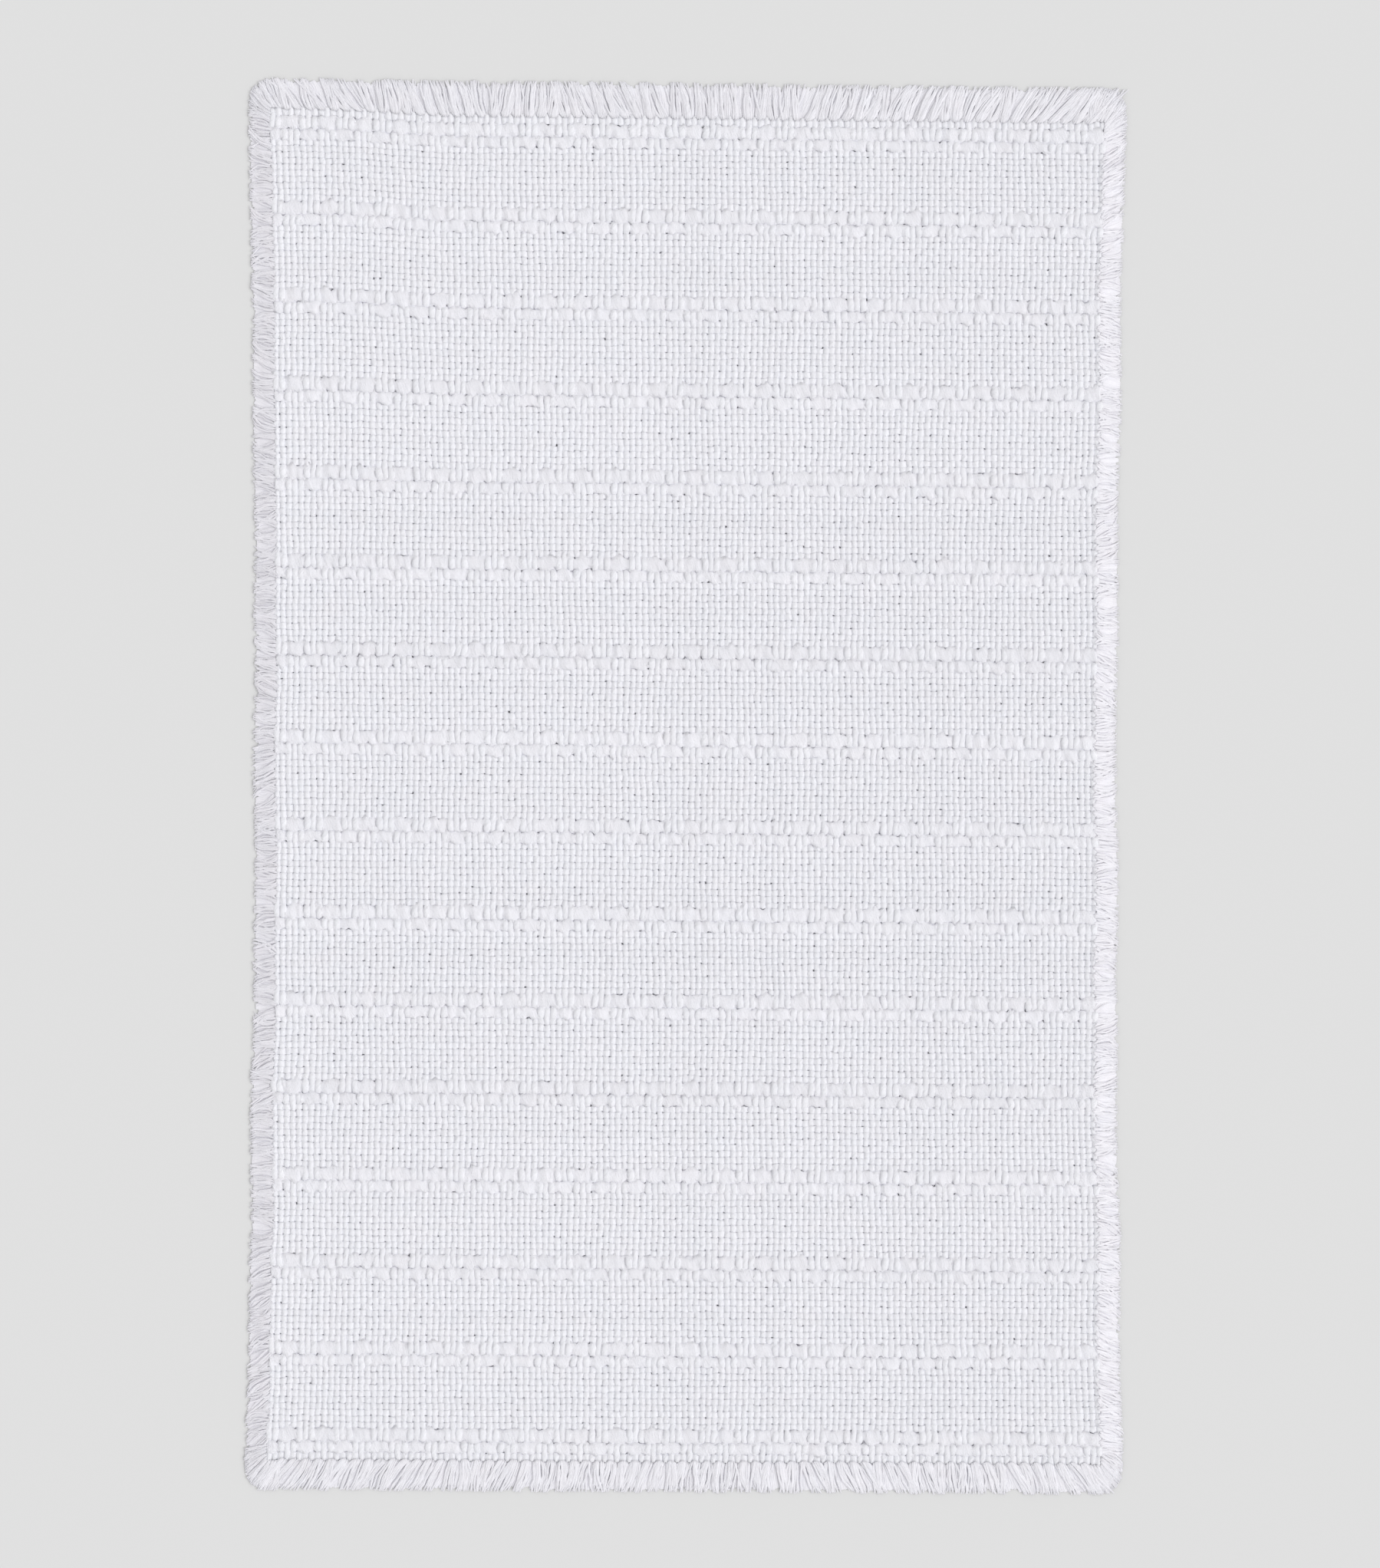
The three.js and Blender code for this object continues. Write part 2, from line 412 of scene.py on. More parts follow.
def cloth_place(weave):
    """Group: from a place in the straight cloth to the place in the skewed, uneven one."""
    t = GeometryTree("Cloth place", {"Across": ("value", 0.0), "Along": ("value", 0.0),
                                     "Height": ("value", 0.0),
                                     **sizes(weave, "top_skew", "bottom_skew", "corner_lift",
                                             "waist", "slack", "lean", "wander")},
                     {"Place": ("vector", None)})
    side = t["Across"] * (2.0 / CLOTH_WIDTH) - 1.0
    down = t["Along"] * (2.0 / CLOTH_LENGTH) - 1.0
    drawn = 1.0 + (down * down - 0.5) * t["Waist"] * (2.0 / CLOTH_WIDTH)
    drop = t.mix(t["Top skew"], t["Bottom skew"], (down + 1.0) / 2.0) * (side + 1.0) / 2.0

    # The pull at the top left corner fades out to the right, down the cloth and over the fringe
    near_left = 1.0 - t.ease(side, -0.88, -0.53)
    near_top = t.ease(t["Along"], -0.025, 0.005) * (1.0 - t.ease(t["Along"], 0.0, 0.35))
    drop = drop - t["Corner lift"] * near_left * near_top
    slack = t.sine(down * 0.3) * t.ease(down, -1.0, -0.85) * t["Slack"]

    # Neighbouring yarns shift together, and the whole cloth drifts; both as shares of the wander
    shift_share, drift_share = (1.2, 0.9, 0.3), (4.0, 0.8, 0.5)
    middle_grey = (0.5, 0.5, 0.5)
    clear_of_floor = 0.00005
    at = t.vector(t["Across"], t["Along"], 0.0)
    shift = t.vmath("SUBTRACT", t.noise(at, SHIFT_SCALE, out=1), middle_grey)
    drift = t.vmath("SUBTRACT", t.noise(at, DRIFT_SCALE, out=1), middle_grey)
    stray_x, stray_y, stray_z = (
        (a * one + b * other) * t["Wander"] for a, b, one, other in
        zip(t.parts(shift), t.parts(drift), shift_share, drift_share))
    x = side * drawn * (CLOTH_WIDTH / 2) + (CLOTH_LEFT + CLOTH_RIGHT) / 2
    x = x - down * t["Lean"] + stray_x
    y = CLOTH_TOP - t["Along"] - drop - slack + stray_y
    z = t["Height"] + t.most(stray_z, 0.0)
    t.give(Place=t.vector(x, y, t.most(z, clear_of_floor)))
    return t.group


def tubes():
    """Group: closed tubes, one for each count, that carry which, ring and around."""
    t = GeometryTree("Tubes", {"Count": ("count", 1), "Rings": ("count", 8),
                               "Sides": ("count", 8), "Turn": ("value", 0.0)},
                     {"Mesh": ("mesh", None)})
    steps = t["Rings"] - 1.0
    tube = t.node("GeometryNodeMeshCylinder", Vertices=t["Sides"], Side_Segments=steps,
                  Radius=1.0, Depth=steps, settings={"fill_type": "NGON"})
    turned = t.vector(0.0, 0.0, t["Turn"] / t["Sides"] * math.tau)
    tube = t.node("GeometryNodeTransform", Geometry=tube, Rotation=turned)
    around = t.node("GeometryNodeInputPosition")
    tube = t.store(tube, "ring_place", around, "FLOAT_VECTOR")
    points = t.node("GeometryNodePoints", t["Count"])
    points = t.store(points, "which", t.node("GeometryNodeInputIndex"))
    copies = t.node("GeometryNodeInstanceOnPoints", Points=points, Instance=tube)
    t.give(Mesh=t.node("GeometryNodeRealizeInstances", copies))
    return t.group


def ring_of(t):
    """The tube's own coordinates at a point: which tube, ring number, cosine and sine."""
    cosine, sine, height = t.parts(t.attribute("ring_place", "FLOAT_VECTOR"))
    return t.attribute("which"), height + (t["Rings"] - 1.0) / 2.0, cosine, sine


def finish_tubes(t, mesh, place, twist, tone, material, smooth=True):
    """Moves a tube's points, keeps what the material reads and sets the material."""
    mesh = t.store(mesh, "yarn_twist", twist, "FLOAT_VECTOR")
    mesh = t.store(mesh, "yarn_tone", tone)
    mesh = t.node("GeometryNodeSetPosition", Geometry=mesh, Position=place)
    for name in ("which", "ring_place"):
        mesh = t.forget(mesh, name)
    mesh = t.node("GeometryNodeSetShadeSmooth", Geometry=mesh, Shade_Smooth=smooth)
    mesh = t.node("GeometryNodeRealizeInstances", mesh)
    return t.node("GeometryNodeSetMaterial", Geometry=mesh, Material=material)


def yarn_sizes(weave, strength=1.0):
    """The inputs of every yarn's tree; strength makes the plies and the lumps deeper."""
    return {"Ply depth": ("value", weave.ply_depth * strength),
            "Lumpiness": ("value", weave.lumpiness * strength),
            **sizes(weave, "ply_pitch", "unevenness", "wobble")}


def ply_lobes(t, cosine, sine, run, which):
    """How far a two-ply yarn stands out at one place round it, about 1."""
    turn = run / t["Ply pitch"] * math.tau + t.random(0.0, math.tau, which, 11)
    double_cos = cosine * cosine - sine * sine
    double_sin = 2.0 * (sine * cosine)
    lobe = double_cos * t.math("COSINE", turn) + double_sin * t.math("SINE", turn)
    return 1.0 + lobe * t["Ply depth"]


def swell(t, which, run, seed):
    """How much a yarn swells at one place along it, about 1."""
    thinnest = 0.92             # thinner, and the floor would show between the yarns
    at = t.vector(which * 0.37 + seed, run, 0.0)
    return t.most(1.0 + t.noise(at, SWELL_SCALE, detail=2.0) * t["Unevenness"], thinnest)


def lumps(t, cosine, sine, which, run, seed):
    """How much a yarn stands out in soft lumps at one place of its surface, about 1."""
    radius = 0.0018             # of the round that the lumps are drawn on
    at = t.vector(which * 0.61 + seed + cosine * radius, sine * radius, run)
    return 1.0 + t.noise(at, LUMP_SCALE, detail=1.0) * t["Lumpiness"]


def boxy(t, value, squareness):
    """A cosine or sine that makes the round section boxier."""
    return t.math("SIGN", value) * t.math("ABSOLUTE", value) ** (1.0 - squareness)


def wobble(t, which, run, seed):
    """How far a yarn strays sideways by itself at one place along it."""
    at = t.vector(which * 0.73 + seed, run, 0.0)
    return t.noise(at, WOBBLE_SCALE, detail=1.0) * t["Wobble"]


def crimp(t, here, there, half_here, half_there, phase, reach, roundness):
    """Level of a yarn between two crossings, and how far it has arched to the nearer one."""
    edge = (half_here + half_there) * 0.5
    from_edge = 0.5 - t.math("ABSOLUTE", phase - 0.5)
    arch = t.sine(t.least(from_edge / reach, 1.0) * 0.25) ** roundness
    changes = t.math("ABSOLUTE", here("Over") - there("Over")) * 0.5
    return t.mix(edge, half_here, arch), (1.0 - arch) * changes


def paired_rings(t, counted, over_first):
    """Rings of plain crossings taken two by two: three on an over, one on an under.

    Gives the crossing and how far along it the ring is."""
    rings_in_pair, ring_step = 4.0, 0.34
    pair = t.floor(counted / rings_in_pair + ROUNDING)
    turn = counted - pair * rings_in_pair
    lone = t.mix(turn < 0.5, turn > 2.5, over_first)
    step = turn + over_first - 2.0
    phase = t.mix(0.5 + step * ring_step, 0.5, lone)
    second = t.mix(turn > 0.5, turn > 2.5, over_first)
    return pair * 2.0 + second, phase


def warp_tree(weave, rule, place, tube):
    """Modifier tree: a group of warp ends, from the top of the cloth to the bottom."""
    rings_float, rings_heading, rings_ground = 4, 3, 2 * GROUND_PICKS
    t = GeometryTree("Warp ends", {
        "First End": ("count", 0), "Ends": ("count", 17), "Rings": ("count", 400),
        "Material": ("material", None), **yarn_sizes(weave),
        **sizes(weave, "warp_thickness", "warp_fill", "warp_arch", "dive", "pinch")},
        {"Mesh": ("mesh", None)})
    mesh = t.group_call(tube, Count=t["Ends"], Rings=t["Rings"], Sides=weave.warp_sides)("Mesh")
    which, ring, cosine, sine = ring_of(t)
    end = which + t["First End"]

    # From the ring's number to the pick it crosses and how far down that pick it is
    bands = len(FLOAT_NODES)
    rings_floats = FLOAT_PICKS * rings_float
    in_repeat = rings_floats + rings_ground
    in_cloth = bands * in_repeat - rings_ground
    counted = t.math("ROUND", ring) - rings_heading
    repeat = t.floor(counted / in_repeat + ROUNDING)
    left = counted - repeat * in_repeat
    float_row = t.floor(left / rings_float + ROUNDING)
    float_phase = (left - float_row * rings_float + 0.5) / rings_float
    over_first = end % 2.0
    plain_row, plain_phase = paired_rings(t, left - rings_floats, over_first)
    on_float = left < rings_floats - 0.5
    row = t.mix(plain_row + FLOAT_PICKS, float_row, on_float)
    phase = t.mix(plain_phase, float_phase, on_float)
    at_foot = counted > in_cloth - 0.5
    at_head = counted < -0.5
    heading_phase = (counted + rings_heading * at_head - in_cloth * at_foot + 0.5) / rings_heading
    heading = at_head + at_foot
    phase = t.mix(phase, heading_phase, heading)
    pick = t.mix(repeat * REPEAT_PICKS + row + 1.0, at_foot * LAST_PICK, heading)

    here = t.group_call(rule, End=end, Pick=pick)
    toward = 2.0 * (phase > 0.5) - 1.0
    there = t.group_call(rule, End=end, Pick=pick + toward)
    warp_half = t["Warp thickness"] / 2
    reach = t.least(t["Dive"] / (here("Height") * 2.0), 0.5)
    level, dives = crimp(t, here, there, here("Half") * (1.0 + here("Over")),
                         there("Half") * (1.0 + there("Over")), phase, reach, t["Warp arch"])
    level = level + warp_half

    run = here("Start") + phase * here("Height")
    fat = swell(t, end, run, 3.0)
    oval = t.sine(phase * 0.5)
    plump = 1.0 + here("Float") * (0.24 * oval - 0.02)
    lobes = ply_lobes(t, cosine, sine, run, end)
    lobes = lobes * lumps(t, cosine, sine, end, run, 5.0)
    half_width = fat * plump * (1.0 - dives * t["Pinch"]) * t["Warp fill"] * (
        CLOTH_WIDTH / ENDS / 2)
    half_height = fat * warp_half
    middle_sink = 0.00030       # the middle one of three floating ends lies lower
    sunk = here("Middle") * here("Over") * middle_sink
    across = (end + 0.5) * (CLOTH_WIDTH / ENDS) + cosine * lobes * half_width
    across = across + wobble(t, end, run, 9.0)
    height = level - sunk + sine * lobes * half_height
    spot = t.group_call(place, Across=across, Along=run, Height=height)("Place")
    twist = t.vector(cosine, sine, run)
    tone = t.random(0.0, 1.0, end, 5)
    t.give(Mesh=finish_tubes(t, mesh, spot, twist, tone, t["Material"]))
    return t.group, in_cloth + 2 * rings_heading


def weft_tree(weave, rule, place, tube, floats):
    """Modifier tree: picks side by side, each from the left edge to the right."""
    # A thick pick is lumpier, rounder and less pinched than a plain one
    lumpier, pinched, squareness = (2.4, 0.25, 0.28) if floats else (1.0, 1.0, weave.squareness)
    t = GeometryTree("Float picks" if floats else "Ground picks", {
        "First Pick": ("count", 0), "Picks": ("count", 10), "Rings": ("count", 400),
        "Material": ("material", None), **yarn_sizes(weave, lumpier),
        "Pinch": ("value", weave.pinch * pinched), "Squareness": ("value", squareness),
        **sizes(weave, "warp_thickness", "weft_fill", "weft_arch", "float_lift", "float_sink",
                "float_dimple")}, {"Mesh": ("mesh", None)})
    sides = weave.float_sides if floats else weave.ground_sides
    mesh = t.group_call(tube, Count=t["Picks"], Rings=t["Rings"], Sides=sides,
                        Turn=0.0 if floats else 0.5)("Mesh")
    which, ring, cosine, sine = ring_of(t)
    pick = which + t["First Pick"]
    counted = t.math("ROUND", ring)
    if floats:
        rings_in_end = 3
        end = t.floor(counted / rings_in_end + ROUNDING)
        phase = (counted - end * rings_in_end + 0.5) / rings_in_end
        rings = rings_in_end * ENDS
    else:
        # An even pick goes under the first end, so it starts with the ring just before it
        over_first = pick % 2.0
        end, phase = paired_rings(t, counted - (1.0 - over_first), over_first)
        rings = 2 * ENDS + 1

    here = t.group_call(rule, End=end, Pick=pick)
    toward = 2.0 * (phase > 0.5) - 1.0
    there = t.group_call(rule, End=end + toward, Pick=pick)
    warp_half = t["Warp thickness"] / 2
    level, dives = crimp(t, here, there, here("Over") * warp_half * -1.0,
                         there("Over") * warp_half * -1.0, phase, 0.5, t["Weft arch"])
    on_top = (1.0 - here("Over")) / 2.0
    shift = t.mix(t["Float lift"], -1.0 * t["Float sink"], on_top)
    dimple = here("Middle") * on_top * t.sine(phase * 0.5) * t["Float dimple"]
    level = level + here("Half") + warp_half + here("Float") * shift - dimple

    run = (end + phase) * (CLOTH_WIDTH / ENDS)
    fat = swell(t, pick, run, 40.0)
    lobes = ply_lobes(t, cosine, sine, run, pick)
    lobes = lobes * lumps(t, cosine, sine, pick, run, 60.0)
    in_float = (here("Place") % BASKET + phase) / BASKET
    bulge = 1.0 + here("Float") * on_top * (t.sine(in_float * 0.5) * 0.16 - 0.10)
    half_width = fat * bulge * (1.0 - dives * t["Pinch"]) * here("Height") * t["Weft fill"] / 2
    wide, high = (boxy(t, around, t["Squareness"]) for around in (cosine, sine))
    along = here("Start") + here("Height") * 0.5 - wide * lobes * half_width
    along = along + wobble(t, pick, run, 21.0)
    height = level + high * lobes * fat * here("Half")
    spot = t.group_call(place, Across=run, Along=along, Height=height)("Place")
    twist = t.vector(cosine, sine, run)
    tone = t.random(0.0, 1.0, pick, 6)
    t.give(Mesh=finish_tubes(t, mesh, spot, twist, tone, t["Material"]))
    return t.group, rings


# ---------------------------------------------------------------- the fringe, as node groups

def strand_tree(place, tube):
    """Group: strands laid from their roots to their tips, both given in cloth places.

    Low strands are flat and wide and close the ground; high ones lie on them."""
    t = GeometryTree("Strands", {
        "Mesh": ("mesh", None), "Rings": ("count", 7), "Root": ("vector", None),
        "Tip": ("vector", None), "Bow": ("value", 0.0), "Thickness": ("value", 0.0008),
        "Low": ("value", 0.0), "Rise": ("value", 0.0038), "Crown": ("value", 0.0),
        "Seed": ("count", 0), "Material": ("material", None)}, {"Mesh": ("mesh", None)})
    which, ring, cosine, sine = ring_of(t)
    crowding = 1.35             # how much closer the rings lie near the root
    s = (ring / (t["Rings"] - 1.0)) ** crowding
    ends = []
    for label in ("Root", "Tip"):
        across, along, _ = t.parts(t[label])
        ends.append(t.group_call(place, Across=across, Along=along, Height=0.0)("Place"))
    chord = t.vmath("SUBTRACT", ends[1], ends[0])
    chord_x, chord_y, _ = t.parts(chord)
    reach = t.vmath("LENGTH", chord, out=1)
    side_x, side_y = -1.0 * chord_y / reach, chord_x / reach

    # Seen from above: a bow and a ripple that grows to the tip; both ends are thinner
    ripple = t.sine(s * t.draw(0.7, 1.9, which, 31) + t.draw(0.0, 1.0, which, 32))
    ripple_size = t.draw(0.0002, 0.0009, which, 35)
    sway = t.sine(s * 0.5) * t["Bow"] + ripple * s * ripple_size
    thin_tip, thin_root, low_widening = 0.45, 0.6, 1.9
    taper = 1.0 - thin_tip * t.ease(s, 0.8, 1.0)
    taper = taper * (1.0 - thin_root + thin_root * t.ease(s, 0.0, 0.07))
    half = t["Thickness"] * 0.5 * taper
    offset = sway * (1.0 - t["Low"]) + cosine * half * (1.0 + low_widening * t["Low"])
    centre = t.vmath("ADD", ends[0], t.scaled(chord, s))

    # Seen from the side: from the root's level down to the floor, high strands a little higher
    spread, low_drop, tip_level, low_tip_level = 0.0002, 0.0004, 0.0006, 0.0004
    flat_high, flat_low = 0.28, 0.42
    high = t.draw(0.0, 1.0, which, 36) * spread
    root_height = t["Rise"] + t.mix(high, -low_drop, t["Low"])
    tip_height = t.mix(tip_level + high, low_tip_level, t["Low"])
    fall = t.ease(s, -0.1, 1.1)
    height = t.mix(root_height, tip_height, fall) + t["Crown"] * (1.0 - 0.7 * s)
    half_height = half * t.mix(flat_high, flat_low, t["Low"])
    height = t.most(height, half_height) + sine * half_height
    spot = t.vmath("ADD", centre, t.vector(side_x * offset, side_y * offset, height))
    twist = t.vector(cosine, sine, s * reach)
    # Painted shade: a low strand's tone is lowered by one, which darkens the strands that lie under
    # the others
    tone = t.draw(0.0, 1.0, which, 34) - t["Low"]
    t.give(Mesh=finish_tubes(t, t["Mesh"], spot, twist, tone, t["Material"], smooth=False))
    return t.group


def fringe_tree(name, lean, place, tube, strand):
    """Modifier tree: a straight fringe in locks, whose lean follows a given curve.

    lean is the sideways step of the tips over the reach, at even steps along the edge."""
    t = GeometryTree(name, {
        "Strands": ("count", 800), "Rings": ("count", 7), "Start": ("vector", None),
        "Edge": ("vector", None), "Out": ("vector", None), "Lock": ("value", 0.0074),
        "Thickness": ("value", 0.0008), "Curl": ("value", 0.001), "Sway": ("value", 0.2),
        "Rise": ("value", 0.0038), "Crown": ("value", 0.0013),
        "Seed": ("count", 0), "Material": ("material", None)}, {"Mesh": ("mesh", None)})
    mesh = t.group_call(tube, Count=t["Strands"], Rings=t["Rings"], Sides=STRAND_SIDES)("Mesh")
    which = t.attribute("which")
    edge_length = t.vmath("LENGTH", t["Edge"], out=1)
    reach = t.vmath("LENGTH", t["Out"], out=1)
    spread_out = (which + 0.5) / t["Strands"]
    lock_count = t.math("ROUND", edge_length / t["Lock"])
    lock = t.floor(spread_out * lock_count)
    in_lock = spread_out * lock_count - lock - 0.5
    lock_width = edge_length / lock_count

    curve_span = 4.0            # the lean that the curve's whole height stands for
    curve = t.group.nodes.new("ShaderNodeFloatCurve")
    points = curve.mapping.curves[0].points
    while len(points) < len(lean):
        points.new(0.5, 0.5)
    for i, value in enumerate(lean):
        points[i].location = (i / (len(lean) - 1), 0.5 + value / curve_span)
    curve.mapping.update()
    t.wire((lock + 0.5) / lock_count, curve.inputs["Value"])
    leaning = (Value(t, curve.outputs[0]) - 0.5) * curve_span * reach

    # Where the roots and the tips lie along the edge: locks close or spread, a few strands stray
    low = t.math("MODULO", which, LOW_EVERY) < 0.5
    gathered, straying, stray_reach, loose = 0.92, 0.94, 0.008, 0.0016
    root = (lock + 0.5 + in_lock * t.mix(gathered, 1.0, low)) * lock_width
    spread = t.draw(0.50, 1.25, lock, 1)
    stray = (t.draw(0.0, 1.0, which, 2) > straying) * t.draw(-stray_reach, stray_reach, which, 3)
    lock_sway = t.draw(-1.0, 1.0, lock, 4) * t["Sway"] * reach
    laid_free = in_lock * (spread - 1.0) * lock_width + lock_sway + stray
    laid_free = laid_free + t.draw(-loose, loose, which, 5)
    tip = root + leaning + laid_free * (1.0 - low)

    # How far out they lie: a trimmed edge that comes and goes, with some short strands
    trimmed, shortest, low_shorter, ragged = 0.04, 0.16, 0.09, 0.02
    trim = t.noise(t.vector(root, t["Seed"] * 1.7, 0.0), TRIM_SCALE) * trimmed
    short = t.draw(0.0, 1.0, which, 6) ** 4.0 * shortest
    uneven = t.draw(-ragged, ragged, which, 7)
    out_to = reach * (1.0 + trim - short - low * low_shorter + uneven)
    crown = lock_crown(in_lock, low, t["Crown"])

    start_x, start_y, _ = t.parts(t["Start"])
    edge_x, edge_y, _ = t.parts(t.scaled(t["Edge"], 1.0 / edge_length))
    out_x, out_y, _ = t.parts(t.scaled(t["Out"], 1.0 / reach))

    def cloth_point(along_edge, out):
        return t.vector(start_x + edge_x * along_edge + out_x * out,
                        start_y + edge_y * along_edge + out_y * out, 0.0)

    # The roots of a lock end in a round, deepest at its middle
    deepest, rounding = 0.0022, 0.0075
    tucked = -deepest + rounding * in_lock * in_lock
    bow = t.draw(-1.0, 1.0, lock, 8) * t["Curl"] + t.draw(-0.8, 0.8, which, 9) * t["Curl"]
    laid = t.group_call(
        strand, Mesh=mesh, Rings=t["Rings"], Root=cloth_point(root, tucked),
        Tip=cloth_point(tip, out_to), Bow=bow, Low=low, Rise=t["Rise"], Crown=crown,
        Seed=t["Seed"], Thickness=t["Thickness"] * t.draw(*THICKNESSES, which, 12),
        Material=t["Material"])
    t.give(Mesh=laid("Mesh"))
    return t.group


def lock_crown(in_lock, low, crown):
    """How much higher a strand lies in the middle of its lock; low strands stay down."""
    return (1.0 - 4.0 * in_lock * in_lock) * (1.0 - low) * crown


def fan_tree(place, tube, strand):
    """Modifier tree: a corner fan, from roots round the cloth's corner to a rounded outline."""
    t = GeometryTree("Corner fan", {
        "Strands": ("count", 110), "Rings": ("count", 7), "Corner": ("vector", None),
        "Out Across": ("value", 0.013), "Out Along": ("value", 0.02),
        "Rise": ("value", 0.0034), "Crown": ("value", 0.0013),
        "Thickness": ("value", 0.0008), "Seed": ("count", 0), "Material": ("material", None)},
        {"Mesh": ("mesh", None)})
    mesh = t.group_call(tube, Count=t["Strands"], Rings=t["Rings"], Sides=STRAND_SIDES)("Mesh")
    which = t.attribute("which")
    turn = (which + 0.5) / t["Strands"]
    locks = 9.0
    inside = 0.009              # how far along each edge the roots and the tips start
    squareness = 0.56           # 1 is a round corner, less is squarer
    tucked = 0.0010             # how far under the cloth's edge the roots lie

    lock = t.floor(turn * locks)
    in_lock = turn * locks - lock - 0.5
    turned = turn + t.draw(-0.04, 0.04, lock, 1) + t.draw(-0.03, 0.03, which, 2)
    turned = t.least(t.most(turned, 0.0), 1.0)
    sign_across = t.math("SIGN", t["Out Across"])
    sign_along = t.math("SIGN", t["Out Along"])
    root_across = sign_across * t.least(2.0 * turn - 1.0, 0.0) * inside
    root_along = sign_along * t.least(1.0 - 2.0 * turn, 0.0) * inside
    ragged, shortest = 0.02, 0.14
    cut = t.draw(-ragged, ragged, which, 4) - t.draw(0.0, 1.0, which, 3) ** 3.0 * shortest
    sweep = turned * 0.25
    out_across, out_along = (t["Out Across"] + sign_across * inside,
                             t["Out Along"] + sign_along * inside)
    tip_across = t.sine(sweep) ** squareness * (1.0 + cut) * out_across
    tip_along = t.sine(0.25 - sweep) ** squareness * (1.0 + cut) * out_along
    corner_x, corner_y, _ = t.parts(t["Corner"])
    root = t.vector(corner_x + root_across - sign_across * tucked,
                    corner_y + root_along - sign_along * tucked, 0.0)
    tip = t.vector(corner_x + tip_across - sign_across * inside,
                   corner_y + tip_along - sign_along * inside, 0.0)
    bow = t.draw(-0.0012, 0.0012, lock, 5) + t.draw(-0.0008, 0.0008, which, 6)
    low = t.math("MODULO", which, LOW_EVERY) < 0.5
    laid = t.group_call(
        strand, Mesh=mesh, Rings=t["Rings"], Root=root, Tip=tip, Bow=bow, Low=low,
        Rise=t["Rise"], Crown=lock_crown(in_lock, low, t["Crown"]), Seed=t["Seed"],
        Thickness=t["Thickness"] * t.draw(*THICKNESSES, which, 8), Material=t["Material"])
    t.give(Mesh=laid("Mesh"))
    return t.group


# ---------------------------------------------------------------- materials

def spun_cotton():
    """Shader group: slanted plies, fibres and uneven whiteness of a soft cotton yarn."""
    t = Tree("Spun cotton", "ShaderNodeTree", {
        "Colour": ("colour", (0.85, 0.85, 0.9, 1.0)), "Plies": ("value", 6.0),
        "Twist Pitch": ("value", 0.016), "Ply Relief": ("value", 0.3),
        "Streak Length": ("value", 0.004), "Variation": ("value", 0.05)}, {
        "Colour": ("colour", None), "Roughness": ("value", None), "Height": ("value", None)})
    around = t.node("ShaderNodeAttribute", out="Vector",
                    settings={"attribute_name": "yarn_twist"})
    tone = t.node("ShaderNodeAttribute", out="Fac", settings={"attribute_name": "yarn_tone"})
    cosine, sine, run = t.parts(around)
    from_top = t.math("ARCTAN2", cosine, sine)
    place = t.node("ShaderNodeTexCoord", out="Object")
    blotch = t.noise(place, BLOTCH_SCALE, detail=2.0)
    slant = from_top + run / t["Twist Pitch"] * math.tau
    ply = t.math("SINE", slant * t["Plies"] + blotch * 2.5)
    streak_at = t.vector(slant * 2.2, run / t["Streak Length"], tone * 40.0)
    streak = t.noise(streak_at, 1.0, detail=3.0, roughness=0.6)
    fibre = t.noise(place, FIBRE_SCALE, detail=3.0, roughness=0.65)
    height = ply * t["Ply Relief"] * 0.5 + streak * 0.8 + fibre * 0.9
    # A yarn's tone and blotches are its own whiteness. A low fringe strand's lowered tone is painted
    # shade
    white = 1.0 + (tone - 0.5) * t["Variation"] + blotch * t["Variation"] * 0.6
    # The ply term is painted shade and highlight: darker in the ply grooves and lighter on the
    # crowns, as the bump's height goes. The streak and fibre terms follow that height too, so they
    # are partly fibre whiteness and partly painted highlight on raised fibres with painted shade
    # between them
    white = white + streak * 0.03 + fibre * 0.03 + ply * t["Ply Relief"] * 0.02
    tinted = t.noise(place, TINT_SCALE, detail=1.0) * 0.010
    tint = t.vector(white + tinted, white, white - tinted * 0.6)
    colour = t.vmath("MULTIPLY", t["Colour"], tint)
    t.give(Colour=colour, Roughness=0.93 + fibre * 0.05, Height=height)
    return t.group


def cotton_material(name, tint, cotton, plies, pitch, relief, streak, depth):
    """One yarn's material: the spun cotton group, a bump and a soft sheen."""
    material = bpy.data.materials.new(name)
    material.use_nodes = True
    nodes, links = material.node_tree.nodes, material.node_tree.links
    nodes.clear()
    yarn = nodes.new("ShaderNodeGroup")
    yarn.node_tree = cotton
    values = {"Colour": (*tint, 1.0), "Plies": plies, "Twist Pitch": pitch,
              "Ply Relief": relief, "Streak Length": streak}
    for label, value in values.items():
        yarn.inputs[label].default_value = value
    bump = nodes.new("ShaderNodeBump")
    bump.inputs["Strength"].default_value = 1.0
    bump.inputs["Distance"].default_value = depth
    shader = nodes.new("ShaderNodeBsdfPrincipled")
    shader.inputs["Sheen Weight"].default_value = 0.25
    shader.inputs["Sheen Roughness"].default_value = 0.6
    shader.inputs["Specular IOR Level"].default_value = 0.2
    output = nodes.new("ShaderNodeOutputMaterial")
    links.new(yarn.outputs["Height"], bump.inputs["Height"])
    links.new(yarn.outputs["Colour"], shader.inputs["Base Color"])
    links.new(yarn.outputs["Roughness"], shader.inputs["Roughness"])
    links.new(bump.outputs["Normal"], shader.inputs["Normal"])
    links.new(shader.outputs["BSDF"], output.inputs["Surface"])
    return material


# ---------------------------------------------------------------- making pieces

